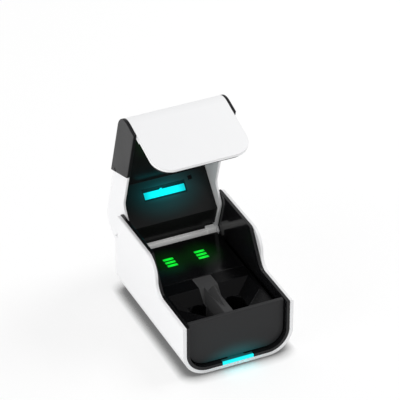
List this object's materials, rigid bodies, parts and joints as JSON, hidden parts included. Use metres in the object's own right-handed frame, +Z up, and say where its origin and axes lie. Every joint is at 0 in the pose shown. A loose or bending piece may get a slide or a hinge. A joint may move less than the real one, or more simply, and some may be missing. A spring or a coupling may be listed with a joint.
{
  "type": "hearing aid dryer",
  "caption": "Tabletop pod with faceted wells for hearing aids, warm air, status bars, a push key and a hinged lid with a lamp inside.",
  "frame": {"origin": "centre of the housing's footprint, on the tabletop under the rubber pad", "axes": "+X to the right as seen from the front, +Y to the back where the hinge is, +Z up"},
  "size_m": [0.066, 0.1121, 0.1194],
  "materials": {
    "white_plastic": "smooth white moulding with a soft gloss",
    "black_gloss": "deep black, highly polished",
    "dark_satin": "dark grey, satin",
    "black_matte": "black, matte",
    "grey_plastic": "light grey, satin",
    "cyan_light": "clear light guide, lit cyan",
    "green_light": "clear light guide, lit green",
    "pad_rubber": "black, fine matte",
    "steel": "plain bright",
    "circuit_board": "green board",
    "copper": "enamelled copper winding",
    "fin_metal": "plain, fine finned"
  },
  "bodies": {
    "housing": {"outer_shell": "white_plastic", "rubber_pad": "pad_rubber", "inner_tub": "black_gloss", "front_panel": "dark_satin", "key_switch": "black_matte", "well_insert": "dark_satin", "display_deck": "black_gloss", "status_lights_left": "green_light", "status_lights_right": "green_light", "indicator_board": "circuit_board", "base_screws": "steel", "charge_coils": "copper", "hinge_pins": "steel", "hinge_rail": "grey_plastic", "rear_cover": "white_plastic", "power_socket": "steel", "socket_board": "circuit_board", "main_board": "circuit_board", "board_parts": "black_matte", "blower_housing": "black_matte", "blower_shaft": "steel", "heater_block": "fin_metal", "base_magnets": "steel", "interlock_sensor": "black_matte"},
    "start_key": {"start_key": "cyan_light"},
    "impeller": {"blower_impeller": "black_matte"},
    "lid": {"lid_shell": "white_plastic", "side_cap_left": "dark_satin", "side_cap_right": "dark_satin", "lid_liner": "black_gloss", "flap_lining": "black_gloss", "lamp_tray": "black_matte", "uv_lamp": "cyan_light", "lamp_board": "circuit_board", "lid_eye": "black_gloss", "lid_magnets": "steel"}
  },
  "joints": [
    {"name": "lid_hinge", "type": "hinge", "parent": "housing", "child": "lid", "pos_m": [0, 0.0444, 0.027], "axis": [1, 0, 0], "range_deg": [0, 72.9]},
    {"name": "start_key_push", "type": "slide", "parent": "housing", "child": "start_key", "axis": [0, 1, 0], "range_m": [0, 0.0008], "stiffness_N_per_m": 1500, "springref_m": -0.0003},
    {"name": "blower_spin", "type": "hinge", "parent": "housing", "child": "impeller", "pos_m": [0.00609, 0.02229, 0.0085], "axis": [0, 0, 1], "continuous": true}
  ]
}
